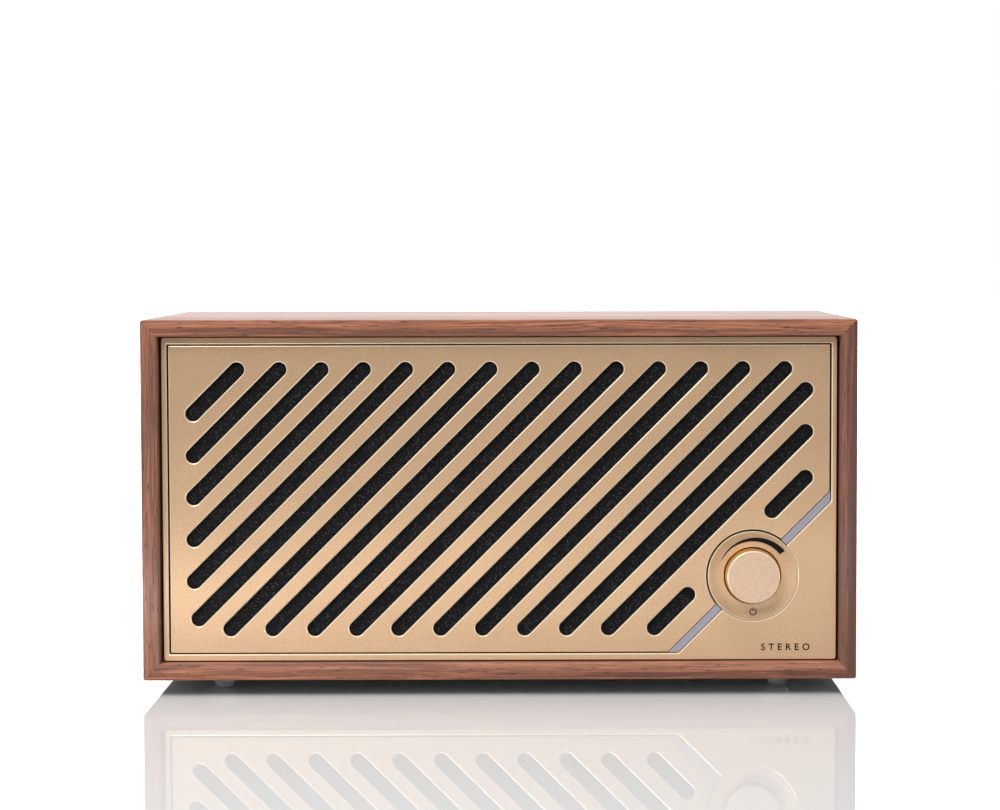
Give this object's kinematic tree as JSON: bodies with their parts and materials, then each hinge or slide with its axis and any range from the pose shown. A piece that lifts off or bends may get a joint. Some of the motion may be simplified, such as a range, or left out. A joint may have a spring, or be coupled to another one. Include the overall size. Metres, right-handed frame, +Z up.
{
  "type": "tabletop radio",
  "caption": "Tabletop radio: mitred walnut cabinet, gold grille with diagonal slots, turn-and-press dial, light bar, full-range drivers and rear sockets.",
  "frame": {"origin": "middle of the footprint, on the surface that the feet stand on", "axes": "+X to the object's right as seen from the front, -Y out of the grille, +Z up"},
  "size_m": [0.277, 0.114, 0.1466],
  "materials": {
    "walnut": "satin lacquered walnut veneer, fine dark pores",
    "gold_plate": "satin gold paint with a very fine metallic texture",
    "gold_trim": "satin gold paint",
    "gold_knob": "fine blasted gold anodising with a bright turned edge",
    "speaker_cloth": "charcoal acoustic cloth, fine speckled knit",
    "light_diffuser": "satin translucent grey",
    "led_flex": "satin",
    "clear_rubber": "clear, soft gloss",
    "black_plastic": "fine moulded texture",
    "steel": "zinc plated",
    "brass": "machined",
    "circuit_board": "satin solder mask",
    "fibreboard": "raw board painted black",
    "batten_wood": "raw pine",
    "cone_paper": "matt pressed paper",
    "surround_rubber": "matt",
    "spider_cloth": "resin treated cloth",
    "copper": "enamelled wire and foil",
    "ferrite": "matt ceramic magnet",
    "transformer_tape": "taped windings",
    "capacitor_sleeve": "shrink sleeve",
    "button_grey": "satin"
  },
  "bodies": {
    "cabinet": {"cabinet_bottom": "walnut", "cabinet_right": "walnut", "cabinet_top": "walnut", "cabinet_left": "walnut", "foot_front_left": "clear_rubber", "foot_front_right": "clear_rubber", "foot_back_left": "clear_rubber", "foot_back_right": "clear_rubber", "front_bezel": "gold_trim", "grille_plate": "gold_plate", "grille_cloth": "speaker_cloth", "light_bar_lower": "light_diffuser", "light_bar_upper": "light_diffuser", "led_strip_lower": "led_flex", "led_strip_upper": "led_flex", "dial_ring": "gold_trim", "encoder_bush": "brass", "encoder_nut": "steel", "encoder_body": "black_plastic", "control_board": "circuit_board", "front_baffle": "fibreboard", "left_surround": "surround_rubber", "left_spider": "spider_cloth", "left_basket": "steel", "left_top_plate": "steel", "left_magnet": "ferrite", "left_yoke": "steel", "right_surround": "surround_rubber", "right_spider": "spider_cloth", "right_basket": "steel", "right_top_plate": "steel", "right_magnet": "ferrite", "right_yoke": "steel", "rear_panel": "black_plastic", "rear_batten_left": "batten_wood", "rear_batten_right": "batten_wood", "rear_screw_lower_right": "steel", "rear_screw_upper_right": "steel", "rear_screw_lower_left": "steel", "rear_screw_upper_left": "steel", "bass_port": "black_plastic", "aux_jack": "black_plastic", "aerial_socket": "steel", "mains_inlet": "black_plastic", "main_board": "circuit_board", "radio_module": "steel", "power_board": "circuit_board", "transformer": "transformer_tape", "smoothing_capacitor": "capacitor_sleeve", "foil_aerial": "copper"},
    "push_actuator": {"push_actuator": "black_plastic"},
    "volume_knob": {"volume_knob": "gold_knob", "encoder_shaft": "steel"},
    "left_cone": {"left_cone": "cone_paper", "left_dust_cap": "cone_paper", "left_voice_coil": "copper"},
    "right_cone": {"right_cone": "cone_paper", "right_dust_cap": "cone_paper", "right_voice_coil": "copper"},
    "source_button": {"source_button": "button_grey"}
  },
  "joints": [
    {"name": "knob_press", "type": "slide", "parent": "cabinet", "child": "push_actuator", "axis": [0, 1, 0], "range_m": [0, 0.0005], "stiffness_N_per_m": 4000, "springref_m": -0.0002},
    {"name": "knob_turn", "type": "hinge", "parent": "push_actuator", "child": "volume_knob", "pos_m": [0.0985, -0.057, 0.0463], "axis": [0, 1, 0], "continuous": true},
    {"name": "left_cone_stroke", "type": "slide", "parent": "cabinet", "child": "left_cone", "axis": [0, 1, 0], "range_m": [-0.002, 0.002], "stiffness_N_per_m": 1200, "deforming": ["left_surround", "left_spider"]},
    {"name": "right_cone_stroke", "type": "slide", "parent": "cabinet", "child": "right_cone", "axis": [0, 1, 0], "range_m": [-0.002, 0.002], "stiffness_N_per_m": 1200, "deforming": ["right_surround", "right_spider"]},
    {"name": "source_button_press", "type": "slide", "parent": "cabinet", "child": "source_button", "axis": [0, -1, 0], "range_m": [0, 0.0008], "stiffness_N_per_m": 2000, "springref_m": -0.0003}
  ]
}
